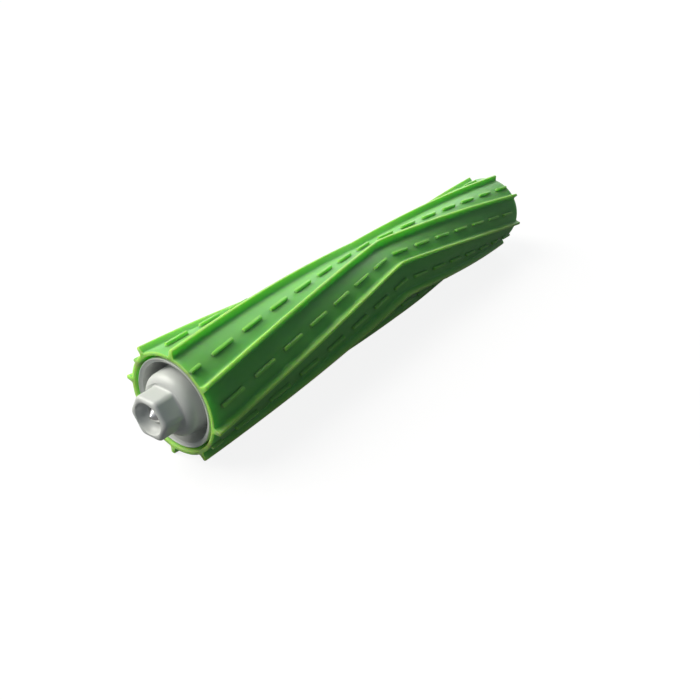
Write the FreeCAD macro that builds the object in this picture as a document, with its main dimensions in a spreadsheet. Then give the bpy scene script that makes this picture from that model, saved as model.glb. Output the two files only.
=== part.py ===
# Roller brush of a robot vacuum: a rubber sleeve with chevron vanes on a rigid core and a steel axle,
# with a drive hub on one end and a bearing cap, which the axle turns in, on the other.
# The roller turns about Y. The origin is on that axis, at mid-length; the bearing cap is at the -Y end.
import FreeCAD, Part
import math
import os
import Sketcher

# Driving dimensions in millimetres and degrees, one row for each cell of the sheet
DIMENSIONS = [
    ("sleeve_length", 184.0),
    ("shell_end_radius", 14.4),
    ("shell_waist_radius", 12.4),
    ("mouth_wall", 1.1),
    ("vane_count", 8),
    ("vane_phase", 36.0),
    ("vane_twist", 48.6),
    ("vane_end_height", 2.0),
    ("vane_waist_height", 2.6),
    ("vane_root_width", 1.6),
    ("vane_tip_width", 0.8),
    ("rib_foot", 0.6),
    ("dash_pitch", 12.8),
    ("dash_length", 8.4),
    ("dash_width", 1.2),
    ("dash_top_width", 0.75),
    ("dash_height", 0.95),
    ("dash_draft", 0.35),
    ("dash_start_even", 12.6),
    ("dash_start_odd", 7.4),
    ("dash_end_margin", 0.2),
    ("dash_lane_shift", -3.0),
    ("sleeve_fit", 0.05),
    ("core_recess", 11.5),
    ("core_radius", 11.2),
    ("core_wall", 2.0),
    ("core_hub_radius", 5.0),
    ("core_web", 1.6),
    ("core_web_count", 6),
    ("axle_radius", 2.0),
    ("axle_press_fit", 0.02),
    ("axle_running_fit", 0.04),
    ("axle_tip_recess", 0.8),
    ("axle_point_radius", 0.4),
    ("axle_point_length", 1.3),
    ("axle_hub_edge", 0.4),
    ("axle_hub_inset", 0.5),
    ("cup_gap", 0.8),
    ("cup_rim_wall", 1.2),
    ("cup_rim_recess", 0.35),
    ("cup_rim_slope", 0.9),
    ("cup_floor", 2.2),
    ("cap_end_float", 0.4),
    ("boss_radius", 8.8),
    ("boss_height", 2.0),
    ("boss_round", 2.6),
    ("peg_reach", 7.6),
    ("peg_flats", 11.2),
    ("peg_corner_round", 1.8),
    ("peg_tip_edge", 0.6),
    ("bowl_radius", 4.4),
    ("bowl_depth", 2.4),
    ("bush_radius", 4.0),
    ("bush_length", 9.5),
    ("axle_hole_gap", 0.5),
    ("post_width", 9.6),
    ("post_corner", 1.2),
    ("lug_count", 3),
    ("lug_length", 6.0),
    ("lug_clearance", 0.2),
]

doc = FreeCAD.newDocument("roller_brush")
sheet = doc.addObject("Spreadsheet::Sheet", "sizes")
for row, (alias, number) in enumerate(DIMENSIONS, start=1):
    sheet.set("A%d" % row, alias)
    sheet.set("B%d" % row, str(number))
    sheet.setAlias("B%d" % row, alias)
doc.recompute()

HALF_LENGTH = "sizes.sleeve_length / 2"
SHELL_SLOPE = "((sizes.shell_end_radius - sizes.shell_waist_radius) / (%s))" % HALF_LENGTH
VANE_SLOPE = "((sizes.vane_end_height - sizes.vane_waist_height) / (%s))" % HALF_LENGTH
MOUTH_RADIUS = "(sizes.shell_end_radius - sizes.mouth_wall)"
CUP_RADIUS = "(%s - sizes.cup_gap)" % MOUTH_RADIUS
NEAR, FAR = -1, 1
# Even steps along half the sleeve at which a vane's section is drawn
VANE_SECTIONS = 4
# Turns along the arc that rounds the bearing cap's boss at which its chords meet, in degrees
SHOULDER_TURNS = (0, 45, 90)


def size(alias):
    """A number from the sheet."""
    return float(sheet.get(alias))


def along(end, inset):
    """Place on Y of a plane that lies the given distance inside one end of the sleeve."""
    if end == NEAR:
        return "(%s) - %s" % (inset, HALF_LENGTH)
    return "%s - (%s)" % (HALF_LENGTH, inset)


def new_body(name):
    body = doc.addObject("PartDesign::Body", name)
    body.Label = name
    return body


def origin_feature(body, role):
    for feature in body.Origin.OriginFeatures:
        if feature.Role == role:
            return feature
    raise RuntimeError("no origin feature " + role)


def new_sketch(body, name, plane):
    sketch = body.newObject("Sketcher::SketchObject", name)
    sketch.AttachmentSupport = [(origin_feature(body, plane), "")]
    sketch.MapMode = "FlatFace"
    return sketch


def cross_section(body, name, station, turn="0"):
    """A sketch across the roller at one place on Y, turned about the axis from +X towards +Z."""
    sketch = new_sketch(body, name, "XZ_Plane")
    sketch.AttachmentOffset = FreeCAD.Placement(
        FreeCAD.Vector(0, 0, 1), FreeCAD.Rotation(FreeCAD.Vector(0, 0, 1), 1))
    sketch.setExpression("AttachmentOffset.Base.z", "-(%s)" % station)
    sketch.setExpression("AttachmentOffset.Rotation.Angle", turn)
    doc.recompute()
    return sketch


def hold(sketch, kind, geometry, expression):
    """Tie the start point of a line to the sketch's origin along one direction."""
    number = float(sketch.evalExpression(expression))
    if abs(number) < 1e-9:
        axis = -2 if kind == "DistanceX" else -1
        sketch.addConstraint(Sketcher.Constraint("PointOnObject", geometry, 1, axis))
        return
    index = sketch.addConstraint(Sketcher.Constraint(kind, -1, 1, geometry, 1, number))
    sketch.setExpression("Constraints[%d]" % index, expression)


def outline(sketch, corners):
    """A closed outline with straight sides through corners given as pairs of expressions."""
    points = []
    for x, y in corners:
        points.append(FreeCAD.Vector(sketch.evalExpression(x), sketch.evalExpression(y), 0))
    first = sketch.GeometryCount
    count = len(points)
    for i in range(count):
        sketch.addGeometry(Part.LineSegment(points[i], points[(i + 1) % count]), False)
    for i in range(count):
        sketch.addConstraint(
            Sketcher.Constraint("Coincident", first + i, 2, first + (i + 1) % count, 1))
    for i, (x, y) in enumerate(corners):
        hold(sketch, "DistanceX", first + i, x)
        hold(sketch, "DistanceY", first + i, y)


def round_corners(sketch, radius):
    """Round every corner of the outline in a sketch."""
    number = float(sketch.evalExpression(radius))
    sides = sketch.GeometryCount
    for side in range(sides):
        sketch.fillet(side, 1, number, True, True)
    for index in range(sides, sketch.GeometryCount):
        if isinstance(sketch.Geometry[index], Part.ArcOfCircle):
            constraint = sketch.addConstraint(Sketcher.Constraint("Radius", index, number))
            sketch.setExpression("Constraints[%d]" % constraint, radius)


def circle(sketch, radius):
    """A circle about the roller's axis."""
    number = float(sketch.evalExpression(radius))
    index = sketch.addGeometry(
        Part.Circle(FreeCAD.Vector(0, 0, 0), FreeCAD.Vector(0, 0, 1), number), False)
    sketch.addConstraint(Sketcher.Constraint("Coincident", index, 3, -1, 1))
    constraint = sketch.addConstraint(Sketcher.Constraint("Radius", index, number))
    sketch.setExpression("Constraints[%d]" % constraint, radius)


def turned(body, name, corners, kind="PartDesign::Revolution"):
    """A ring turned about Y from a profile of radius and place on Y, added or cut away."""
    profile = new_sketch(body, name + "_profile", "XY_Plane")
    outline(profile, corners)
    feature = body.newObject(kind, name)
    feature.Profile = profile
    feature.ReferenceAxis = (profile, ["V_Axis"])
    feature.Angle = 360
    feature.Refine = False
    doc.recompute()
    return feature


def pad(body, name, sketch, length, towards):
    """A pad of a cross-section, grown towards one end of the roller."""
    feature = body.newObject("PartDesign::Pad", name)
    feature.Profile = sketch
    feature.setExpression("Length", length)
    feature.Reversed = towards == FAR
    feature.Refine = False
    doc.recompute()
    return feature


def around(body, name, originals, count):
    """Copies of features evenly spaced about the roller's axis."""
    pattern = body.newObject("PartDesign::PolarPattern", name)
    pattern.Originals = originals
    pattern.Axis = (origin_feature(body, "Y_Axis"), [""])
    pattern.Angle = 360
    pattern.setExpression("Occurrences", count)
    pattern.Refine = False
    body.Tip = pattern
    doc.recompute()
    return pattern


def bevelled(body, name, base, wanted, width):
    """A bevel on every edge of a feature that passes the wanted test."""
    edges = []
    for i, edge in enumerate(base.Shape.Edges, start=1):
        if wanted(edge):
            edges.append("Edge%d" % i)
    if not edges:
        raise RuntimeError("no edge to bevel for " + name)
    bevel = body.newObject("PartDesign::Chamfer", name)
    bevel.Base = (base, edges)
    bevel.setExpression("Size", width)
    bevel.Refine = True
    doc.recompute()
    return bevel


def tip_edge(place, reach):
    """A test for the edges round the outside of a peg's end face."""
    def wanted(edge):
        points = [edge.valueAt(edge.FirstParameter), edge.valueAt(edge.LastParameter)]
        level = all(abs(point.y - place) < 0.01 for point in points)
        return level and all(math.hypot(point.x, point.z) > reach for point in points)
    return wanted


def shell_radius(inset):
    """Outside radius of the waisted shell at a distance from the near end, as an expression."""
    return "(sizes.shell_waist_radius + %s * abs(%s - (%s)))" % (SHELL_SLOPE, HALF_LENGTH, inset)


def vane_radius(inset):
    """Radius of the vane tips at a distance from the near end, as an expression."""
    height = "sizes.vane_waist_height + %s * abs(%s - (%s))" % (VANE_SLOPE, HALF_LENGTH, inset)
    return "(%s + %s)" % (shell_radius(inset), height)


def vane_angle(inset):
    """Angle of the first vane at a distance from the near end: it turns to the middle and back."""
    share = "(1 - abs(%s - (%s)) / (%s))" % (HALF_LENGTH, inset, HALF_LENGTH)
    return "(sizes.vane_phase + sizes.vane_twist * %s)" % share


def vane_outline(inset):
    """Section of a vane: its root is in the shell's wall and its sides narrow to the tip."""
    root = "%s - sizes.rib_foot" % shell_radius(inset)
    tip = vane_radius(inset)
    return [
        ("sizes.vane_root_width / 2", root),
        ("sizes.vane_tip_width / 2", tip),
        ("-sizes.vane_tip_width / 2", tip),
        ("-sizes.vane_root_width / 2", root),
    ]


def half_vane(body, name, first_share):
    """One vane from the near end or from the waist, lofted through even sections over half the sleeve."""
    sections = []
    for number in range(VANE_SECTIONS + 1):
        inset = "%s * %s" % (first_share + number / VANE_SECTIONS, HALF_LENGTH)
        turn = "%s - 90" % vane_angle(inset)
        section = cross_section(body, "%s_section_%d" % (name, number), along(NEAR, inset), turn)
        outline(section, vane_outline(inset))
        sections.append(section)
    vane = body.newObject("PartDesign::AdditiveLoft", name)
    vane.Profile = sections[0]
    vane.Sections = sections[1:]
    vane.Refine = False
    doc.recompute()
    return vane


def sleeve_body():
    """The waisted shell, bored for the core and wider at its two mouths, with its chevron vanes."""
    body = new_body("sleeve_vanes")
    bore = "sizes.core_radius + sizes.sleeve_fit"
    turned(body, "shell", [
        (MOUTH_RADIUS, along(NEAR, "0")),
        ("sizes.shell_end_radius", along(NEAR, "0")),
        ("sizes.shell_waist_radius", "0"),
        ("sizes.shell_end_radius", along(FAR, "0")),
        (MOUTH_RADIUS, along(FAR, "0")),
        (MOUTH_RADIUS, along(FAR, "sizes.core_recess")),
        (bore, along(FAR, "sizes.core_recess")),
        (bore, along(NEAR, "sizes.core_recess")),
        (MOUTH_RADIUS, along(NEAR, "sizes.core_recess")),
    ])
    halves = [half_vane(body, "vane_near", 0), half_vane(body, "vane_far", 1)]
    around(body, "vanes", halves, "sizes.vane_count")
    return body


def dash(start, stop, lane):
    """One short rib between two vanes, drafted on all sides, with its foot in the shell's wall."""
    half = size("sleeve_length") / 2
    middle = (start + stop) / 2
    to_waist = abs(half - middle)
    side = 1 if middle < half else -1
    turn_rate = math.radians(size("vane_twist")) / half
    slope = (size("shell_end_radius") - size("shell_waist_radius")) / half
    shell = size("shell_waist_radius") + slope * to_waist
    angle = math.radians(lane + size("vane_phase") + size("vane_twist") * (1 - to_waist / half))
    outward = FreeCAD.Vector(math.cos(angle), side * slope, math.sin(angle)).normalize()
    sideways = FreeCAD.Vector(-math.sin(angle), 0, math.cos(angle))
    forward = (FreeCAD.Vector(0, 1, 0) + sideways * (side * turn_rate * shell)).normalize()
    across = forward.cross(outward).normalize()
    upright = across.cross(forward)
    foot = size("rib_foot")
    width = size("dash_width")
    top = size("dash_top_width")
    reach = (stop - start) / 2
    draft = size("dash_draft")
    block = Part.makeWedge(
        -width / 2, -foot, -reach, -reach + draft, -top / 2,
        width / 2, size("dash_height"), reach, reach - draft, top / 2)
    turn = FreeCAD.Rotation(upright.cross(forward), upright, forward, "ZYX")
    centre = FreeCAD.Vector(shell * math.cos(angle), middle - half, shell * math.sin(angle))
    block.Placement = FreeCAD.Placement(centre, turn)
    return block


def dash_rows():
    """Rows of dashes near the middle between the vanes, alternate rows set off along the roller."""
    blocks = []
    count = int(size("vane_count"))
    first = size("dash_end_margin")
    last = size("sleeve_length") - size("dash_end_margin")
    starts = [size("dash_start_even"), size("dash_start_odd")]
    for row in range(count):
        lane = 360.0 / count * (row + 0.5) + size("dash_lane_shift")
        place = starts[row % 2] - size("dash_pitch")
        while place - size("dash_length") / 2 < last:
            start = max(place - size("dash_length") / 2, first)
            stop = min(place + size("dash_length") / 2, last)
            if stop - start > size("dash_length") / 3:
                blocks.append(dash(start, stop, lane))
            place = place + size("dash_pitch")
    rows = doc.addObject("Part::Feature", "dash_rows")
    rows.Shape = Part.makeCompound(blocks)
    return rows


def rubber_sleeve():
    sleeve = doc.addObject("Part::MultiFuse", "rubber_sleeve")
    sleeve.Shapes = [sleeve_body(), dash_rows()]
    sleeve.Refine = False
    doc.recompute()
    return sleeve


def window_corners(clearance):
    """Space between two webs of the core, less a clearance all round."""
    lean = "tan(180 / sizes.core_web_count)"
    inner = "(sizes.core_hub_radius + %s)" % clearance
    outer = "(sizes.core_radius - sizes.core_wall - %s)" % clearance
    edge = "(sizes.core_web / 2 + %s) / cos(180 / sizes.core_web_count)" % clearance
    half = [
        ("%s * %s - %s" % (inner, lean, edge), inner),
        ("%s * %s - %s" % (outer, lean, edge), outer),
    ]
    return half + [("-(%s)" % x, y) for x, y in reversed(half)]


def core():
    """Rigid core: a hub on the axle and a barrel inside the sleeve, joined by webs."""
    body = new_body("core")
    bore = "sizes.axle_radius + sizes.axle_press_fit"
    barrel = turned(body, "barrel", [
        (bore, along(NEAR, "sizes.core_recess")),
        ("sizes.core_radius", along(NEAR, "sizes.core_recess")),
        ("sizes.core_radius", along(FAR, "sizes.core_recess")),
        (bore, along(FAR, "sizes.core_recess")),
    ])
    section = cross_section(body, "window_section", along(NEAR, "sizes.core_recess"))
    outline(section, window_corners("0"))
    window = body.newObject("PartDesign::Pocket", "window")
    window.Profile = section
    window.setExpression("Length", "sizes.sleeve_length - 2 * sizes.core_recess")
    window.Refine = False
    doc.recompute()
    if window.Shape.Volume > barrel.Shape.Volume - 1:
        raise RuntimeError("the core's window cuts nothing")
    around(body, "windows", [window], "sizes.core_web_count")
    return body


def axle():
    """Steel axle with a blunt point at the bearing end."""
    body = new_body("axle")
    tip = along(NEAR, "sizes.axle_tip_recess - sizes.peg_reach")
    inside = along(FAR, "sizes.axle_hub_inset")
    turned(body, "rod", [
        ("0", tip),
        ("sizes.axle_point_radius", tip),
        ("sizes.axle_radius", "%s + sizes.axle_point_length" % tip),
        ("sizes.axle_radius", "%s - sizes.axle_hub_edge" % inside),
        ("sizes.axle_radius - sizes.axle_hub_edge", inside),
        ("0", inside),
    ])
    return body


def rounded_shoulder():
    """Edge of the bearing cap's boss from its side to its front, as chords of an arc."""
    points = []
    for turn in SHOULDER_TURNS:
        points.append((
            "sizes.boss_radius - sizes.boss_round * (1 - cos(%d))" % turn,
            along(NEAR, "sizes.boss_round * (1 - sin(%d)) - sizes.boss_height" % turn)))
    return points


def cup_and_boss(body, end, back, hole, shoulder):
    """Round end piece: a thin cup in the sleeve's mouth, with a boss in the middle and a sloping rim.

    back is the inset of its rear face, hole the profile of its bore from front to rear
    and shoulder the edge of its boss from the side to the front."""
    floor = "%s - sizes.cup_floor" % back
    inner_radius = "%s - sizes.cup_rim_wall" % CUP_RADIUS
    return turned(body, "cup", hole + [
        (CUP_RADIUS, along(end, back)),
        (CUP_RADIUS, along(end, "sizes.cup_rim_recess")),
        (inner_radius, along(end, "sizes.cup_rim_recess + sizes.cup_rim_slope")),
        (inner_radius, along(end, floor)),
        ("sizes.boss_radius", along(end, floor)),
    ] + shoulder)


def bearing_cap():
    """Cap that stays still in the machine: the axle turns in the bush inside its hexagonal peg."""
    body = new_body("bearing_cap")
    back = "(sizes.core_recess - sizes.cap_end_float)"
    seat = "(%s - sizes.bush_length)" % back
    hole = "sizes.axle_radius + sizes.axle_hole_gap"
    pocket = "sizes.bush_radius + sizes.axle_press_fit"
    cup_and_boss(body, NEAR, back, [
        (hole, along(NEAR, "-sizes.boss_height")),
        (hole, along(NEAR, seat)),
        (pocket, along(NEAR, seat)),
        (pocket, along(NEAR, back)),
    ], rounded_shoulder())
    section = cross_section(body, "peg_section", along(NEAR, "0"))
    half_side = "sizes.peg_flats / 2 * tan(30)"
    corner = "sizes.peg_flats / 2 / cos(30)"
    flat = "sizes.peg_flats / 2"
    outline(section, [
        (corner, "0"), (half_side, flat), ("-(%s)" % half_side, flat),
        ("-(%s)" % corner, "0"), ("-(%s)" % half_side, "-(%s)" % flat), (half_side, "-(%s)" % flat),
    ])
    round_corners(section, "sizes.peg_corner_round")
    circle(section, hole)
    peg = pad(body, "peg", section, "sizes.peg_reach", NEAR)
    tip = -size("sleeve_length") / 2 - size("peg_reach")
    bevelled(body, "peg_tip", peg, tip_edge(tip, size("bowl_radius")), "sizes.peg_tip_edge")
    inside = "sizes.axle_radius"
    turned(body, "bowl", [
        (inside, along(NEAR, "-sizes.peg_reach")),
        ("sizes.bowl_radius", along(NEAR, "-sizes.peg_reach")),
        (hole, along(NEAR, "sizes.bowl_depth - sizes.peg_reach")),
        (inside, along(NEAR, "sizes.bowl_depth - sizes.peg_reach")),
    ], "PartDesign::Groove")
    return body


def bearing_bush():
    """Plain bush pressed into the back of the bearing cap."""
    body = new_body("bearing_bush")
    back = "(sizes.core_recess - sizes.cap_end_float)"
    seat = "(%s - sizes.bush_length)" % back
    bore = "sizes.axle_radius + sizes.axle_running_fit"
    turned(body, "ring", [
        (bore, along(NEAR, seat)),
        ("sizes.bush_radius", along(NEAR, seat)),
        ("sizes.bush_radius", along(NEAR, back)),
        (bore, along(NEAR, back)),
    ])
    return body


def drive_hub():
    """Hub pressed on the axle: a square post takes the drive and lugs pass it to the core."""
    body = new_body("drive_hub")
    back = "sizes.core_recess"
    bore = "sizes.axle_radius + sizes.axle_press_fit"
    end_of_bore = "sizes.axle_hub_inset"
    cup_and_boss(body, FAR, back, [
        ("0", along(FAR, "-sizes.boss_height")),
        ("0", along(FAR, end_of_bore)),
        (bore, along(FAR, end_of_bore)),
        (bore, along(FAR, back)),
    ], [("sizes.boss_radius", along(FAR, "-sizes.boss_height"))])
    section = cross_section(body, "post_section", along(FAR, "0"))
    side = "(sizes.post_width / 2)"
    short = "(sizes.post_width / 2 - sizes.post_corner)"
    outline(section, [
        (side, short), (short, side), ("-" + short, side), ("-" + side, short),
        ("-" + side, "-" + short), ("-" + short, "-" + side), (short, "-" + side), (side, "-" + short),
    ])
    post = pad(body, "post", section, "sizes.peg_reach", FAR)
    tip = size("sleeve_length") / 2 + size("peg_reach")
    bevelled(body, "post_tip", post, tip_edge(tip, 0), "sizes.peg_tip_edge")
    lug_section = cross_section(body, "lug_section", along(FAR, back))
    outline(lug_section, window_corners("sizes.lug_clearance"))
    lug = pad(body, "lug", lug_section, "sizes.lug_length", NEAR)
    around(body, "lugs", [lug], "sizes.lug_count")
    return body


def write_parts(pieces):
    doc.recompute()
    for item in doc.Objects:
        if "Invalid" in item.State or "Error" in item.State:
            raise RuntimeError("%s failed: %s" % (item.Label, item.State))
    for piece in pieces:
        if piece.Shape.isNull() or not piece.Shape.isValid():
            raise RuntimeError("%s has no valid shape" % piece.Label)
    os.makedirs("parts", exist_ok=True)
    for piece in pieces:
        piece.Shape.exportStep("parts/%s.step" % piece.Label)
        print(piece.Label, len(piece.Shape.Solids), "solid", round(piece.Shape.Volume), "mm3")


write_parts([rubber_sleeve(), core(), axle(), bearing_cap(), bearing_bush(), drive_hub()])
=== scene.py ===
# Looks of a robot vacuum's roller brush: green rubber sleeve, grey end pieces and a bright steel axle.
# The roller lies along Y with its bearing cap towards the camera. All lengths are in metres.
import math

import bmesh
import bpy
from mathutils import Matrix, Vector


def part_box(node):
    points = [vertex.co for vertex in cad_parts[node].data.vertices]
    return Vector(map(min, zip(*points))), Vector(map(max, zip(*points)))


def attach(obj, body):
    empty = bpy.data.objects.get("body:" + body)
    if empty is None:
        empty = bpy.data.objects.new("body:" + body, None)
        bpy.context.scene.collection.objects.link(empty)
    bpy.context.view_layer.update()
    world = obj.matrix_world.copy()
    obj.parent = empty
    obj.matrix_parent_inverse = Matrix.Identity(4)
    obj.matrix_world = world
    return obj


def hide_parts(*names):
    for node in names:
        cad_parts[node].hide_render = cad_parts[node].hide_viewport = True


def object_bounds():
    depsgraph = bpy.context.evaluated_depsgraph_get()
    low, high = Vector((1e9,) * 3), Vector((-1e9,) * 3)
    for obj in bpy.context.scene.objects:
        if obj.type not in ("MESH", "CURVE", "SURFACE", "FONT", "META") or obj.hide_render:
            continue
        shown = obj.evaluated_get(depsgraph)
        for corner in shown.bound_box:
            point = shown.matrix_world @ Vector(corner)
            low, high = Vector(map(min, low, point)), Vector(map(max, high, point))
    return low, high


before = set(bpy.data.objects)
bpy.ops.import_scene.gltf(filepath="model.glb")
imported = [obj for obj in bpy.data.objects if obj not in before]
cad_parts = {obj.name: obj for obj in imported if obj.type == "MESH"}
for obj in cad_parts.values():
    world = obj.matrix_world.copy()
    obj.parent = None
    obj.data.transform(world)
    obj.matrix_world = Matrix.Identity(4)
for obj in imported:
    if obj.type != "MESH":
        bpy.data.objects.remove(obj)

CAD_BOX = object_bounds()
MM = 0.001
NEAR = -1
FAR = 1

# Sleeve, as in the frame: a waisted shell with vanes that turn to the middle and back
SLEEVE_LOW, SLEEVE_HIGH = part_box("rubber_sleeve")
HALF_LENGTH = (SLEEVE_HIGH.y - SLEEVE_LOW.y) / 2
SHELL_END_RADIUS = 14.4 * MM
SHELL_WAIST_RADIUS = 12.4 * MM
MOUTH_RADIUS = 13.3 * MM
BORE_RADIUS = 11.25 * MM
CORE_RECESS = 11.5 * MM
VANE_COUNT = 8
VANE_END_HEIGHT = 2.0 * MM
VANE_WAIST_HEIGHT = 2.6 * MM
VANE_PHASE = math.radians(36.0)
VANE_TWIST = math.radians(48.6)
BEND_ROUNDING = 2.0 * MM
SLEEVE_STEP = 2.0 * MM
SLEEVE_EDGE = 0.15 * MM
SHELL_STEPS_BETWEEN_VANES = 9
MERGE_DISTANCE = 0.005 * MM
SLEEVE_SHARP_DEGREES = 50

# Half of a vane's section from its tip to its foot: distance to the side, share of the vane's height
VANE_HALF_SECTION = [
    (0.00 * MM, 1.00),
    (0.26 * MM, 1.00),
    (0.42 * MM, 0.97),
    (0.51 * MM, 0.90),
    (0.56 * MM, 0.78),
    (0.64 * MM, 0.40),
    (0.73 * MM, 0.18),
    (0.88 * MM, 0.05),
    (1.15 * MM, 0.00),
]

# Dashes: short ribs in rows near the middle between the vanes, alternate rows set off along the roller
DASH_PITCH = 12.8 * MM
DASH_LENGTH = 8.4 * MM
DASH_WIDTH = 1.2 * MM
DASH_TOP_SHARE = 0.68
DASH_DRAFT = 0.25 * MM
DASH_HEIGHT = 0.95 * MM
DASH_CORNER = 0.2 * MM
DASH_CROWN = 0.12 * MM
DASH_STARTS = (12.6 * MM, 7.4 * MM)
DASH_END_MARGIN = 0.2 * MM
DASH_SHORTEST = DASH_LENGTH / 3
DASH_LANE_SHIFT = math.radians(-3.0)

# Attribute of the sleeve's mesh that the painted glow follows: 0 on the shell, 1 at the vanes' tips,
# where the rubber is painted a lighter lime as a painted highlight and glow of thin lit rubber
PAINTED_GLOW = "painted_glow"
# Share of painted glow on the dashes' tops: a painted lime highlight
DASH_PAINTED_GLOW = 0.4

# End pieces: a cup in the sleeve's mouth, a domed boss in it and a peg or a post in front
RING_STEPS = 144
CUP_RADIUS = 12.5 * MM
CUP_WALL = 1.2 * MM
CUP_RIM_RECESS = 0.35 * MM
CUP_RIM_SLOPE = 0.5 * MM
CUP_RIM_ROUND = 0.2 * MM
CUP_RIM_ROUND_FROM = 120
CUP_RIM_SHARES = (1.6, 1.3, 1.05, 0.9, 0.6, 0.3)
CUP_RIM_STRAIGHT = 0.85
CUP_RIM_FOOT = 1.6
CUP_RIM_FOOT_ROUND = 0.06
CUP_FLOOR = 2.2 * MM
CAP_END_FLOAT = 0.4 * MM
CUP_EDGE = 0.3 * MM
BOSS_RADIUS = 8.8 * MM
BOSS_HEIGHT = 2.0 * MM
BOSS_ROUND = 2.6 * MM
BOSS_ROUND_FROM = 75
BOSS_FLARE = 0.4 * MM
BOSS_DISH = 0.3 * MM
HUB_BOSS_ROUND = 0.5 * MM
PEG_REACH = 7.6 * MM
PEG_FILLET = 0.6 * MM
PEG_FILLET_BLEND = 0.5
PEG_SIDES = 6
PEG_FIRST_CORNER = 0.0
PEG_APOTHEM = 5.6 * MM
PEG_CORNER = 1.8 * MM
PEG_TIP_ROUND = 0.9 * MM
BOWL_RADIUS = 4.4 * MM
BOWL_DEPTH = 2.4 * MM
BOWL_EDGE = 0.2 * MM
AXLE_HOLE_RADIUS = 2.5 * MM
BUSH_POCKET_RADIUS = 4.02 * MM
BUSH_LENGTH = 9.5 * MM
POST_SIDES = 4
POST_FIRST_CORNER = math.pi / 4
POST_APOTHEM = 4.8 * MM
POST_CORNER = 2.0 * MM
POST_TIP_ROUND = 0.6 * MM
HUB_BORE_RADIUS = 2.02 * MM
HUB_BORE_END = 0.5 * MM
LUG_COUNT = 3
LUG_HALF_ANGLE = math.pi / 6
LUG_INNER = 5.2 * MM
LUG_OUTER = 9.0 * MM
LUG_SIDE_GAP = 1.0 * MM
LUG_LENGTH = 6.0 * MM
END_PIECE_SHARP_DEGREES = 40


# Shapes of the sleeve

def shell_radius(y):
    return SHELL_WAIST_RADIUS + (SHELL_END_RADIUS - SHELL_WAIST_RADIUS) * abs(y) / HALF_LENGTH


def vane_height(y):
    return VANE_WAIST_HEIGHT + (VANE_END_HEIGHT - VANE_WAIST_HEIGHT) * abs(y) / HALF_LENGTH


def vane_turn(y):
    """Angle that the vanes have turned through at a place along the roller, rounded at the waist."""
    return VANE_TWIST * (1 - math.hypot(y, BEND_ROUNDING) / HALF_LENGTH)


def polar(radius, angle, y):
    return Vector((radius * math.cos(angle), y, radius * math.sin(angle)))


def sleeve_stations():
    """Places along Y of the rings of the sleeve's outside, close together at the waist and the ends."""
    count = round(HALF_LENGTH / SLEEVE_STEP)
    half = [HALF_LENGTH * i / count for i in range(1, count)]
    near_waist = [BEND_ROUNDING / 4, BEND_ROUNDING / 2]
    outward = sorted(near_waist + half) + [HALF_LENGTH - SLEEVE_EDGE, HALF_LENGTH]
    return [-y for y in reversed(outward)] + [0.0] + outward


def vane_ring(bm, y):
    """A closed ring of edges round the sleeve: a vane and the shell beside it, repeated all round."""
    shell = shell_radius(y)
    profile = [(-side, share) for side, share in reversed(VANE_HALF_SECTION[1:])] + VANE_HALF_SECTION
    painted_glow = bm.verts.layers.float[PAINTED_GLOW]
    verts = []
    for side, share in profile:
        radius = shell + vane_height(y) * share
        vert = bm.verts.new(polar(radius, side / radius, y))
        # The share of the vane's height is also its share of painted glow: a painted lime highlight
        # towards the tip
        vert[painted_glow] = share
        verts.append(vert)
    foot = VANE_HALF_SECTION[-1][0] / shell
    gap = 2 * math.pi / VANE_COUNT - 2 * foot
    for step in range(1, SHELL_STEPS_BETWEEN_VANES + 1):
        verts.append(bm.verts.new(polar(shell, foot + gap * step / SHELL_STEPS_BETWEEN_VANES, y)))
    edges = [bm.edges.new(pair) for pair in zip(verts, verts[1:])]
    bmesh.ops.spin(
        bm, geom=verts + edges, cent=(0, 0, 0), axis=(0, 1, 0), dvec=(0, 0, 0),
        angle=2 * math.pi * (VANE_COUNT - 1) / VANE_COUNT, steps=VANE_COUNT - 1, use_duplicate=True)
    bmesh.ops.remove_doubles(bm, verts=bm.verts, dist=MERGE_DISTANCE)
    turn = Matrix.Rotation(-(VANE_PHASE + vane_turn(y)), 4, "Y")
    bmesh.ops.transform(bm, matrix=turn, verts=bm.verts)
    return list(bm.edges)


def extrude_ring(bm, edges):
    """A new ring joined to the old one by faces: its vertices and edges."""
    made = bmesh.ops.extrude_edge_only(bm, edges=edges)["geom"]
    verts = [item for item in made if isinstance(item, bmesh.types.BMVert)]
    rim = [item for item in made if isinstance(item, bmesh.types.BMEdge)]
    fresh = set(verts)
    return verts, [edge for edge in rim if edge.verts[0] in fresh and edge.verts[1] in fresh]


def carry_ring(verts, old_y, new_y):
    """Move a ring of the sleeve's outside along the roller, with the twist and waist of that place."""
    old_shell, new_shell = shell_radius(old_y), shell_radius(new_y)
    grow = vane_height(new_y) / vane_height(old_y)
    turn = vane_turn(new_y) - vane_turn(old_y)
    for vert in verts:
        radius = math.hypot(vert.co.x, vert.co.z)
        angle = math.atan2(vert.co.z, vert.co.x) + turn
        vert.co = polar(new_shell + (radius - old_shell) * grow, angle, new_y)


def shrink_ring(verts, painted_glow, amount):
    """Draw the ring at an end of the sleeve in towards the axis; the end faces get the full painted glow,
    a painted lime highlight.
    """
    for vert in verts:
        radius = math.hypot(vert.co.x, vert.co.z)
        vert.co = polar(radius - amount, math.atan2(vert.co.z, vert.co.x), vert.co.y)
        vert[painted_glow] = 1.0


def gather_ring(verts, painted_glow, radius, y):
    """Bring a ring to one radius, as on the inner wall; the edges of the mouths get the full painted
    glow, a painted lime highlight.
    """
    for vert in verts:
        vert.co = polar(radius, math.atan2(vert.co.z, vert.co.x), y)
        vert[painted_glow] = 1.0 if abs(y) > HALF_LENGTH - 2 * SLEEVE_EDGE else 0.0


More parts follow.
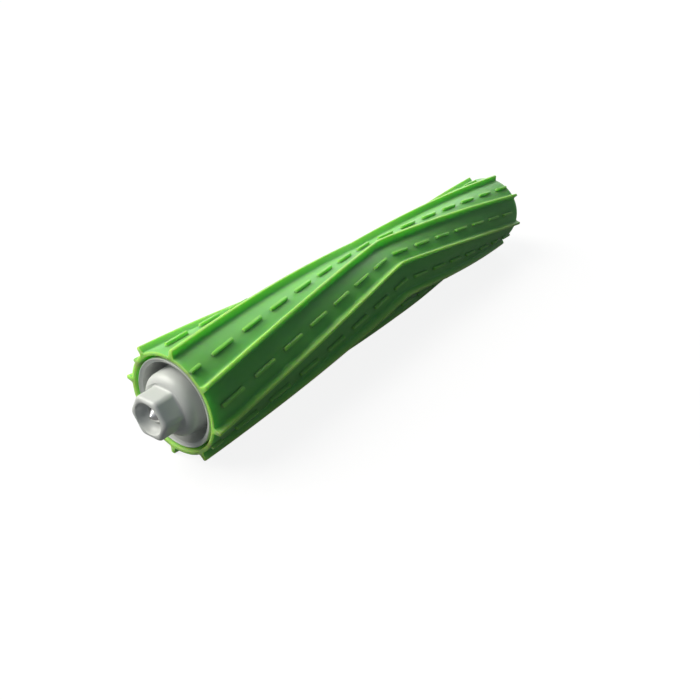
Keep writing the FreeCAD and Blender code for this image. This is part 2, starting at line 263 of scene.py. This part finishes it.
def sleeve_tube(bm):
    """The closed tube of the sleeve: outside with vanes, two end faces and the stepped inner wall."""
    painted_glow = bm.verts.layers.float.new(PAINTED_GLOW)
    stations = sleeve_stations()
    edges = vane_ring(bm, stations[0])
    first = edges
    first_verts = list(bm.verts)
    for old_y, new_y in zip(stations, stations[1:]):
        verts, edges = extrude_ring(bm, edges)
        carry_ring(verts, old_y, new_y)
    shrink_ring(verts, painted_glow, SLEEVE_EDGE)
    shrink_ring(first_verts, painted_glow, SLEEVE_EDGE)
    step = HALF_LENGTH - CORE_RECESS
    inner_wall = [
        (MOUTH_RADIUS + SLEEVE_EDGE, HALF_LENGTH), (MOUTH_RADIUS, HALF_LENGTH - SLEEVE_EDGE),
        (MOUTH_RADIUS, step), (BORE_RADIUS, step), (BORE_RADIUS, -step), (MOUTH_RADIUS, -step),
        (MOUTH_RADIUS, SLEEVE_EDGE - HALF_LENGTH), (MOUTH_RADIUS + SLEEVE_EDGE, -HALF_LENGTH),
    ]
    for radius, y in inner_wall:
        verts, edges = extrude_ring(bm, edges)
        gather_ring(verts, painted_glow, radius, y)
    bmesh.ops.bridge_loops(bm, edges=first + edges)


def dash_bar(length):
    """One dash about its own middle, along Y, with its top towards Z and its foot under the shell."""
    bm = bmesh.new()
    painted_glow = bm.verts.layers.float.new(PAINTED_GLOW)
    bmesh.ops.create_cube(bm, size=1.0)
    bmesh.ops.scale(bm, vec=(DASH_WIDTH, length, 2 * DASH_HEIGHT), verts=bm.verts)
    upper = [vert for vert in bm.verts if vert.co.z > 0]
    bmesh.ops.scale(bm, vec=(DASH_TOP_SHARE, 1 - 2 * DASH_DRAFT / length, 1.0), verts=upper)
    upright = [edge for edge in bm.edges if abs(edge.verts[0].co.z - edge.verts[1].co.z) > DASH_HEIGHT]
    bmesh.ops.bevel(
        bm, geom=upright, offset=DASH_CORNER, offset_type="OFFSET", segments=3, profile=0.5,
        affect="EDGES", material=-1)
    crown = [edge for edge in bm.edges if min(vert.co.z for vert in edge.verts) > DASH_HEIGHT / 2]
    bmesh.ops.bevel(
        bm, geom=crown, offset=DASH_CROWN, offset_type="OFFSET", segments=2, profile=0.5,
        affect="EDGES", material=-1)
    # The dashes' tops get part of the painted glow, a painted highlight; their sides and feet get none
    for vert in bm.verts:
        vert[painted_glow] = DASH_PAINTED_GLOW if vert.co.z > DASH_HEIGHT / 2 else 0.0
    return bm


def dash_place(start, stop, lane):
    """Where a dash sits: out on the shell, leaning with the vanes and with the shell's waist."""
    middle = (start + stop) / 2 - HALF_LENGTH
    side = -1 if middle > 0 else 1
    shell = shell_radius(middle)
    slope = (SHELL_END_RADIUS - SHELL_WAIST_RADIUS) / HALF_LENGTH
    angle = VANE_PHASE + lane + vane_turn(middle)
    sideways = Vector((-math.sin(angle), 0, math.cos(angle)))
    outward = Vector((math.cos(angle), side * slope, math.sin(angle))).normalized()
    forward = (Vector((0, 1, 0)) + sideways * (side * VANE_TWIST / HALF_LENGTH * shell)).normalized()
    across = forward.cross(outward).normalized()
    upright = across.cross(forward)
    turn = Matrix((across, forward, upright)).transposed().to_4x4()
    return Matrix.Translation(polar(shell, angle, middle)) @ turn


def add_dashes(bm):
    """Rows of dashes along the sleeve, one row between each two vanes, cut short at the sleeve's ends."""
    length = 2 * HALF_LENGTH
    for row in range(VANE_COUNT):
        lane = 2 * math.pi / VANE_COUNT * (row + 0.5) + DASH_LANE_SHIFT
        place = DASH_STARTS[row % 2] - DASH_PITCH
        while place - DASH_LENGTH / 2 < length:
            start = max(place - DASH_LENGTH / 2, DASH_END_MARGIN)
            stop = min(place + DASH_LENGTH / 2, length - DASH_END_MARGIN)
            if stop - start > DASH_SHORTEST:
                bar = dash_bar(stop - start)
                bmesh.ops.transform(bar, matrix=dash_place(start, stop, lane), verts=bar.verts)
                mesh = bpy.data.meshes.new("dash")
                bar.to_mesh(mesh)
                bar.free()
                bm.from_mesh(mesh)
                bpy.data.meshes.remove(mesh)
            place += DASH_PITCH


def finish_piece(bm, name, material, sharp_degrees):
    """Make an object of a finished mesh, with outward faces and shading that breaks at sharp edges."""
    bmesh.ops.recalc_face_normals(bm, faces=bm.faces)
    mesh = bpy.data.meshes.new(name)
    bm.to_mesh(mesh)
    bm.free()
    mesh.polygons.foreach_set("use_smooth", [True] * len(mesh.polygons))
    mesh.set_sharp_from_angle(angle=math.radians(sharp_degrees))
    mesh.materials.append(material)
    piece = bpy.data.objects.new(name, mesh)
    bpy.context.scene.collection.objects.link(piece)
    return piece


def make_sleeve(material):
    bm = bmesh.new()
    sleeve_tube(bm)
    add_dashes(bm)
    sleeve = finish_piece(bm, "sleeve", material, SLEEVE_SHARP_DEGREES)
    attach(sleeve, "roller")
    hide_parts("rubber_sleeve")


# Shapes of the end pieces: rings given as inset from the sleeve's end, reach and share of the polygon

def polygon_radius(angle, sides, first_corner, apothem, corner):
    """Distance from the axis to the outline of a polygon with rounded corners, in one direction."""
    half = math.pi / sides
    off_corner = abs((angle - first_corner + half) % (2 * half) - half)
    off_flat = half - off_corner
    straight = math.atan2((apothem - corner) * math.tan(half), apothem)
    if off_flat <= straight:
        return apothem / math.cos(off_flat)
    centre = (apothem - corner) / math.cos(half)
    return centre * math.cos(off_corner) + math.sqrt(corner ** 2 - (centre * math.sin(off_corner)) ** 2)


def ring_chain(bm, rings, end, sides, first_corner, corner):
    """A skin through rings about the axis: the edges of its first and last rings."""
    circle = bmesh.ops.create_circle(bm, cap_ends=False, radius=1.0, segments=RING_STEPS)
    verts = circle["verts"]
    upright = Matrix.Rotation(math.pi / 2, 3, "X")
    bmesh.ops.rotate(bm, cent=(0, 0, 0), matrix=upright, verts=verts)
    edges = list({edge for vert in verts for edge in vert.link_edges})
    first = edges
    for number, (inset, reach, flatness) in enumerate(rings):
        if number > 0:
            verts, edges = extrude_ring(bm, edges)
        for vert in verts:
            angle = math.atan2(vert.co.z, vert.co.x)
            flat_reach = polygon_radius(angle, sides, first_corner, reach, corner) if flatness else reach
            radius = flatness * flat_reach + (1 - flatness) * reach
            vert.co = polar(radius, angle, end * (HALF_LENGTH - inset))
    return first, edges


def arc_steps(first, last, count):
    """Angles of evenly spaced points on an arc, as pairs of sine and cosine."""
    pairs = []
    for step in range(count + 1):
        turn = math.radians(first + (last - first) * step / count)
        pairs.append((math.sin(turn), math.cos(turn)))
    return pairs


def peg_rings(apothem, tip_round, dish):
    """Outside of a peg or post, from its tip face to the fillet on the boss, which may be dished."""
    foot = BOSS_HEIGHT - dish
    rings = []
    for sine, cosine in arc_steps(0, 90, 5):
        rings.append((tip_round * (1 - cosine) - PEG_REACH, apothem - tip_round * (1 - sine), 1.0))
    for sine, cosine in arc_steps(0, 90, 4):
        blend = 1 - PEG_FILLET_BLEND * (1 - cosine)
        rings.append((PEG_FILLET * (sine - 1) - foot, apothem + PEG_FILLET * (1 - cosine), blend))
    return rings


def rim_reach(inner, share):
    """Radius on the rim's slope at a share of its depth; its foot rounds into the inner wall."""
    straight = CUP_RIM_STRAIGHT * max(0.0, 1 - share)
    rounded = CUP_RIM_FOOT_ROUND * max(0.0, CUP_RIM_FOOT - share) ** 2
    return inner + CUP_WALL * (straight + rounded)


def cup_rings(back, boss_round):
    """Boss, cup floor, inner wall, sloping rim and outer wall, from the boss's front to the rear face."""
    floor = back - CUP_FLOOR
    inner = CUP_RADIUS - CUP_WALL
    foot = BOSS_RADIUS + BOSS_FLARE
    rings = []
    for sine, cosine in arc_steps(BOSS_ROUND_FROM, 0, 7):
        inset = boss_round * (1 - sine) - BOSS_HEIGHT
        rings.append((inset, BOSS_RADIUS - boss_round * (1 - cosine), 0.0))
    for sine, cosine in arc_steps(0, 90, 3):
        rings.append((floor - CUP_EDGE * (1 - sine), foot + CUP_EDGE * (1 - cosine), 0.0))
    for sine, cosine in arc_steps(90, 0, 3):
        rings.append((floor - CUP_EDGE * (1 - sine), inner - CUP_EDGE * (1 - cosine), 0.0))
    for share in CUP_RIM_SHARES:
        rings.append((CUP_RIM_RECESS + CUP_RIM_SLOPE * share, rim_reach(inner, share), 0.0))
    for sine, cosine in arc_steps(CUP_RIM_ROUND_FROM, 0, 4):
        inset = CUP_RIM_RECESS + CUP_RIM_ROUND * (1 - sine)
        rings.append((inset, CUP_RADIUS - CUP_RIM_ROUND * (1 - cosine), 0.0))
    rings.append((back - CUP_EDGE, CUP_RADIUS, 0.0))
    rings.append((back, CUP_RADIUS - CUP_EDGE, 0.0))
    return rings


def make_bearing_cap(material):
    """Cap with a hexagonal peg, a bowl in the peg's tip and a pocket for the bush behind."""
    back = CORE_RECESS - CAP_END_FLOAT
    seat = back - BUSH_LENGTH
    rings = []
    for sine, cosine in arc_steps(0, 90, 8):
        depth = BOWL_EDGE + (BOWL_DEPTH - BOWL_EDGE) * cosine
        rings.append((depth - PEG_REACH, AXLE_HOLE_RADIUS + (BOWL_RADIUS - AXLE_HOLE_RADIUS) * sine, 0.0))
    rings.append((BOWL_EDGE / 4 - PEG_REACH, BOWL_RADIUS + BOWL_EDGE / 3, 0.0))
    rings.append((-PEG_REACH, BOWL_RADIUS + BOWL_EDGE, 0.0))
    rings += peg_rings(PEG_APOTHEM, PEG_TIP_ROUND, BOSS_DISH) + cup_rings(back, BOSS_ROUND)
    rings.append((back, BUSH_POCKET_RADIUS, 0.0))
    rings.append((seat, BUSH_POCKET_RADIUS, 0.0))
    rings.append((seat, AXLE_HOLE_RADIUS, 0.0))
    bm = bmesh.new()
    first, last = ring_chain(bm, rings, NEAR, PEG_SIDES, PEG_FIRST_CORNER, PEG_CORNER)
    bmesh.ops.bridge_loops(bm, edges=first + last)
    cap = finish_piece(bm, "bearing_cap_shell", material, END_PIECE_SHARP_DEGREES)
    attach(cap, "cap")
    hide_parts("bearing_cap")


def add_lugs(bm, back):
    """Lugs behind the drive hub that reach between the webs of the core."""
    lean = math.tan(LUG_HALF_ANGLE)
    edge = LUG_SIDE_GAP / math.cos(LUG_HALF_ANGLE)
    place = HALF_LENGTH - back
    for number in range(LUG_COUNT):
        turn = Matrix.Rotation(2 * math.pi * number / LUG_COUNT, 4, "Y")
        verts = []
        for reach, side in ((LUG_INNER, 1), (LUG_OUTER, 1), (LUG_OUTER, -1), (LUG_INNER, -1)):
            verts.append(bm.verts.new(turn @ Vector((side * (reach * lean - edge), place, reach))))
        face = bm.faces.new(verts)
        made = bmesh.ops.extrude_face_region(bm, geom=[face])["geom"]
        moved = [item for item in made if isinstance(item, bmesh.types.BMVert)]
        bmesh.ops.translate(bm, vec=(0, -LUG_LENGTH, 0), verts=moved)


def make_drive_hub(material):
    """Hub with a square post, blind-bored for the axle, with lugs behind."""
    back = CORE_RECESS
    rings = peg_rings(POST_APOTHEM, POST_TIP_ROUND, 0.0) + cup_rings(back, HUB_BOSS_ROUND)
    rings.append((back, HUB_BORE_RADIUS, 0.0))
    rings.append((HUB_BORE_END, HUB_BORE_RADIUS, 0.0))
    bm = bmesh.new()
    for edges in ring_chain(bm, rings, FAR, POST_SIDES, POST_FIRST_CORNER, POST_CORNER):
        bmesh.ops.contextual_create(bm, geom=edges)
    add_lugs(bm, back)
    hub = finish_piece(bm, "drive_hub_shell", material, END_PIECE_SHARP_DEGREES)
    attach(hub, "roller")
    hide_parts("drive_hub")


# Materials: a ramp is a list of stops, each a place and a colour

def level(value):
    """A grey, or the same value in all three channels."""
    return (value, value, value)


SHELL_GREENS = [(0.3, (0.200, 0.605, 0.130)), (0.7, (0.225, 0.655, 0.150))]
# Painted highlight: the lighter lime of lit vane tips, dash tops and sleeve ends, and how much of it each
# share of glow gets
LIT_RIB_GREENS = [(0.3, (0.405, 0.850, 0.160)), (0.7, (0.445, 0.890, 0.190))]
PAINTED_GLOW_SHARES = [(0.10, level(0.0)), (0.90, level(1.0))]
RUBBER_ROUGHNESS = [(0.3, level(0.42)), (0.7, level(0.50))]
END_GREYS = [(0.3, (0.64, 0.66, 0.64)), (0.7, (0.68, 0.705, 0.685))]
CORE_GREYS = [(0.3, (0.23, 0.24, 0.25)), (0.7, (0.27, 0.28, 0.29))]
PLASTIC_ROUGHNESS = [(0.3, level(0.30)), (0.7, level(0.38))]
STEEL_TINTS = [(0.2, level(0.70)), (0.8, (0.80, 0.80, 0.79))]
BRONZE_TINTS = [(0.35, (0.20, 0.12, 0.05)), (0.6, (0.47, 0.31, 0.15))]


def new_material(name):
    material = bpy.data.materials.new(name)
    material.use_nodes = True
    nodes = material.node_tree.nodes
    links = material.node_tree.links
    return material, nodes, links, nodes["Principled BSDF"]


def add_node(nodes, kind, **settings):
    node = nodes.new(kind)
    for key, value in settings.items():
        setattr(node, key, value)
    return node


def noise(nodes, links, coords, scale, detail):
    node = add_node(nodes, "ShaderNodeTexNoise")
    node.inputs["Scale"].default_value = scale
    node.inputs["Detail"].default_value = detail
    links.new(coords.outputs["Object"], node.inputs["Vector"])
    return node


def ramp(nodes, links, source, stops):
    node = add_node(nodes, "ShaderNodeValToRGB")
    elements = node.color_ramp.elements
    while len(elements) < len(stops):
        elements.new(0.5)
    for element, (place, colour) in zip(elements, stops):
        element.position = place
        element.color = (*colour, 1.0)
    links.new(source, node.inputs["Fac"])
    return node


def bump(nodes, links, source, shader, strength, distance):
    node = add_node(nodes, "ShaderNodeBump")
    node.inputs["Strength"].default_value = strength
    node.inputs["Distance"].default_value = distance
    links.new(source, node.inputs["Height"])
    links.new(node.outputs["Normal"], shader.inputs["Normal"])


def combine(nodes, links, operation, first, second):
    """The result of a sum on two values, of which the second may be a plain number."""
    node = add_node(nodes, "ShaderNodeMath", operation=operation)
    links.new(first, node.inputs[0])
    if isinstance(second, float):
        node.inputs[1].default_value = second
    else:
        links.new(second, node.inputs[1])
    return node.outputs["Value"]


def mixed(nodes, links, share, first, second):
    """A colour between two others."""
    node = add_node(nodes, "ShaderNodeMix", data_type="RGBA")
    links.new(share, node.inputs["Factor"])
    links.new(first, node.inputs["A"])
    links.new(second, node.inputs["B"])
    return node.outputs["Result"]


def sleeve_rubber():
    """Green rubber: deeper green on the shell, with painted light on the tips of the vanes, the dashes'
    tops, the end faces and the mouths' edges, which are painted a lighter lime as highlight and glow, and
    a fine satin skin.
    """
    material, nodes, links, shader = new_material("sleeve_rubber")
    coords = add_node(nodes, "ShaderNodeTexCoord")
    cloud = noise(nodes, links, coords, scale=90.0, detail=3.0)
    shell = ramp(nodes, links, cloud.outputs["Fac"], SHELL_GREENS)
    lit_ribs = ramp(nodes, links, cloud.outputs["Fac"], LIT_RIB_GREENS)
    glow_mask = add_node(nodes, "ShaderNodeAttribute", attribute_type="GEOMETRY", attribute_name=PAINTED_GLOW)
    # Painted light: lime mixed over the shell's green where the glow attribute is high
    painted_glow = ramp(nodes, links, glow_mask.outputs["Fac"], PAINTED_GLOW_SHARES)
    green = mixed(nodes, links, painted_glow.outputs["Color"], shell.outputs["Color"], lit_ribs.outputs["Color"])
    links.new(green, shader.inputs["Base Color"])
    grain = noise(nodes, links, coords, scale=4200.0, detail=2.0)
    bump(nodes, links, grain.outputs["Fac"], shader, strength=0.12, distance=0.05 * MM)
    shine = ramp(nodes, links, cloud.outputs["Fac"], RUBBER_ROUGHNESS)
    links.new(shine.outputs["Color"], shader.inputs["Roughness"])
    shader.inputs["Specular IOR Level"].default_value = 0.3
    shader.inputs["Sheen Weight"].default_value = 0.1
    shader.inputs["Sheen Roughness"].default_value = 0.4
    shader.inputs["Subsurface Weight"].default_value = 0.9
    shader.inputs["Subsurface Radius"].default_value = (0.65, 1.0, 0.2)
    shader.inputs["Subsurface Scale"].default_value = 2.6 * MM
    return material


def moulded_plastic(name, greys):
    """Grey moulded plastic with a faint cloudiness and a fine satin skin."""
    material, nodes, links, shader = new_material(name)
    coords = add_node(nodes, "ShaderNodeTexCoord")
    cloud = noise(nodes, links, coords, scale=160.0, detail=3.0)
    tint = ramp(nodes, links, cloud.outputs["Fac"], greys)
    links.new(tint.outputs["Color"], shader.inputs["Base Color"])
    grain = noise(nodes, links, coords, scale=5200.0, detail=2.0)
    bump(nodes, links, grain.outputs["Fac"], shader, strength=0.08, distance=0.04 * MM)
    shine = ramp(nodes, links, cloud.outputs["Fac"], PLASTIC_ROUGHNESS)
    links.new(shine.outputs["Color"], shader.inputs["Roughness"])
    return material


def axle_steel():
    """Bright ground steel with fine rings round the axle."""
    material, nodes, links, shader = new_material("axle_steel")
    shader.inputs["Metallic"].default_value = 1.0
    coords = add_node(nodes, "ShaderNodeTexCoord")
    rings = add_node(nodes, "ShaderNodeTexWave", wave_type="RINGS", rings_direction="Y")
    rings.inputs["Scale"].default_value = 2600.0
    rings.inputs["Distortion"].default_value = 1.5
    links.new(coords.outputs["Object"], rings.inputs["Vector"])
    tint = ramp(nodes, links, rings.outputs["Fac"], STEEL_TINTS)
    links.new(tint.outputs["Color"], shader.inputs["Base Color"])
    bump(nodes, links, rings.outputs["Fac"], shader, strength=0.08, distance=0.03 * MM)
    shader.inputs["Roughness"].default_value = 0.14
    return material


def bush_bronze():
    """Sintered bronze: brown metal with open pores."""
    material, nodes, links, shader = new_material("bush_bronze")
    shader.inputs["Metallic"].default_value = 1.0
    coords = add_node(nodes, "ShaderNodeTexCoord")
    pores = noise(nodes, links, coords, scale=3000.0, detail=4.0)
    tint = ramp(nodes, links, pores.outputs["Fac"], BRONZE_TINTS)
    links.new(tint.outputs["Color"], shader.inputs["Base Color"])
    bump(nodes, links, pores.outputs["Fac"], shader, strength=0.2, distance=0.05 * MM)
    shader.inputs["Roughness"].default_value = 0.45
    return material


def dress_node(name, material):
    """Give a solid of the frame its material; the solid itself stays as it is."""
    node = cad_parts[name]
    node.data.materials.clear()
    node.data.materials.append(material)


# Stage, light and camera: the ramps run outwards from the roller's middle, or across from left to right

FLOOR_SIZE = 3.0
FLOOR_GREY = level(0.15)
FLOOR_GLOW_BY_DISTANCE = [(0.10, level(0.88)), (0.40, level(1.0))]
FLOOR_MIRRORED = [(0.2, level(0.9)), (0.48, level(0.1))]
SKY_TINTS = [(0.0, (0.90, 0.97, 1.0)), (0.5, (0.25, 0.30, 0.34)), (1.0, (0.11, 0.18, 0.28))]
SKY_STRENGTH = 0.35
SKY_MIRRORED = [(0.2, level(1.0)), (0.75, level(0.1))]

# Name, place, width, power in watts and tint of each lamp; all point at the roller's middle
LAMPS = [
    ("key_light", (-0.50, -0.42, 0.65), 0.75, 10.8, (1.0, 0.97, 0.90)),
    ("fill_light", (0.55, -0.25, 0.35), 0.5, 0.12, (0.92, 0.97, 1.0)),
    ("rear_light", (-0.25, 0.65, 0.35), 0.4, 1.5, (0.96, 0.98, 1.0)),
]
ROLLER_MIDDLE = (0.0, 0.0, 0.0)

CAMERA_PLACE = (0.1145, -0.1804, 0.0944)
CAMERA_TARGET = (0.000125, -0.01441, -0.02088)
CAMERA_LENS = 34.6
SENSOR_WIDTH = 36.0
CLIP_START = 0.005


def seen_white(nodes, links, mirrored):
    """How white the background is: fully for the camera and through glass, as given in reflections."""
    path = add_node(nodes, "ShaderNodeLightPath")
    shine = combine(nodes, links, "MULTIPLY", path.outputs["Is Glossy Ray"], mirrored)
    seen = combine(nodes, links, "MAXIMUM", path.outputs["Is Camera Ray"], shine)
    return combine(nodes, links, "MAXIMUM", seen, path.outputs["Is Transmission Ray"])


def make_floor():
    """A wide white floor that keeps the roller's soft shadow and shows white round it. Its glow is
    painted light: a little dimmer near the roller and full white further out, making up for the lamps'
    falloff, and in reflections bright on the left and dim on the right.
    """
    bm = bmesh.new()
    bmesh.ops.create_grid(bm, x_segments=1, y_segments=1, size=FLOOR_SIZE)
    bmesh.ops.translate(bm, vec=(0, 0, CAD_BOX[0].z), verts=bm.verts)
    mesh = bpy.data.meshes.new("floor")
    bm.to_mesh(mesh)
    bm.free()
    material, nodes, links, shader = new_material("floor_white")
    shader.inputs["Base Color"].default_value = (*FLOOR_GREY, 1.0)
    shader.inputs["Roughness"].default_value = 0.9
    shader.inputs["Specular IOR Level"].default_value = 0.0
    coords = add_node(nodes, "ShaderNodeTexCoord")
    distance = add_node(nodes, "ShaderNodeVectorMath", operation="LENGTH")
    links.new(coords.outputs["Object"], distance.inputs[0])
    white = ramp(nodes, links, distance.outputs["Value"], FLOOR_GLOW_BY_DISTANCE)
    parts = add_node(nodes, "ShaderNodeSeparateXYZ")
    links.new(coords.outputs["Object"], parts.inputs["Vector"])
    across = combine(nodes, links, "ADD", parts.outputs["X"], 0.5)
    mirrored = ramp(nodes, links, across, FLOOR_MIRRORED)
    glow = add_node(nodes, "ShaderNodeEmission")
    links.new(white.outputs["Color"], glow.inputs["Color"])
    links.new(seen_white(nodes, links, mirrored.outputs["Color"]), glow.inputs["Strength"])
    both = add_node(nodes, "ShaderNodeAddShader")
    links.new(shader.outputs["BSDF"], both.inputs[0])
    links.new(glow.outputs["Emission"], both.inputs[1])
    links.new(both.outputs["Shader"], nodes["Material Output"].inputs["Surface"])
    mesh.materials.append(material)
    floor = bpy.data.objects.new("floor", mesh)
    bpy.context.scene.collection.objects.link(floor)


def make_world():
    """A sky for the fill light, brighter on the left, which the camera sees as white."""
    world = bpy.data.worlds.new("studio")
    bpy.context.scene.world = world
    world.use_nodes = True
    nodes = world.node_tree.nodes
    links = world.node_tree.links
    coords = add_node(nodes, "ShaderNodeTexCoord")
    parts = add_node(nodes, "ShaderNodeSeparateXYZ")
    links.new(coords.outputs["Generated"], parts.inputs["Vector"])
    from_left = combine(nodes, links, "ADD", parts.outputs["X"], 1.0)
    across = combine(nodes, links, "MULTIPLY", from_left, 0.5)
    sky = ramp(nodes, links, across, SKY_TINTS)
    fill = nodes["Background"]
    links.new(sky.outputs["Color"], fill.inputs["Color"])
    fill.inputs["Strength"].default_value = SKY_STRENGTH
    white = add_node(nodes, "ShaderNodeBackground")
    white.inputs["Color"].default_value = (1.0, 1.0, 1.0, 1.0)
    white.inputs["Strength"].default_value = 1.0
    mix = add_node(nodes, "ShaderNodeMixShader")
    mirrored = ramp(nodes, links, across, SKY_MIRRORED)
    links.new(seen_white(nodes, links, mirrored.outputs["Color"]), mix.inputs["Fac"])
    links.new(fill.outputs["Background"], mix.inputs[1])
    links.new(white.outputs["Background"], mix.inputs[2])
    links.new(mix.outputs["Shader"], nodes["World Output"].inputs["Surface"])


def aim(thing, target):
    """Turn a lamp or the camera towards a point."""
    direction = Vector(target) - thing.location
    thing.rotation_euler = direction.to_track_quat("-Z", "Y").to_euler()


def add_softbox(name, place, size, power, tint):
    """A square area lamp that points at the roller's middle."""
    lamp = bpy.data.lights.new(name, "AREA")
    lamp.shape = "SQUARE"
    lamp.size = size
    lamp.energy = power
    lamp.color = tint
    softbox = bpy.data.objects.new(name, lamp)
    softbox.location = place
    bpy.context.scene.collection.objects.link(softbox)
    aim(softbox, ROLLER_MIDDLE)


def make_camera():
    """The photograph's viewpoint: close to the near end, above and to the right of the roller."""
    lens = bpy.data.cameras.new("camera")
    lens.sensor_width = SENSOR_WIDTH
    lens.lens = CAMERA_LENS
    lens.clip_start = CLIP_START
    camera = bpy.data.objects.new("camera", lens)
    camera.location = CAMERA_PLACE
    bpy.context.scene.collection.objects.link(camera)
    aim(camera, CAMERA_TARGET)
    bpy.context.scene.camera = camera


make_sleeve(sleeve_rubber())
make_bearing_cap(moulded_plastic("cap_plastic", END_GREYS))
make_drive_hub(moulded_plastic("hub_plastic", END_GREYS))
dress_node("core", moulded_plastic("core_plastic", CORE_GREYS))
dress_node("axle", axle_steel())
dress_node("bearing_bush", bush_bronze())
make_floor()
make_world()
for lamp_settings in LAMPS:
    add_softbox(*lamp_settings)
make_camera()
bpy.context.scene.view_settings.view_transform = "Standard"
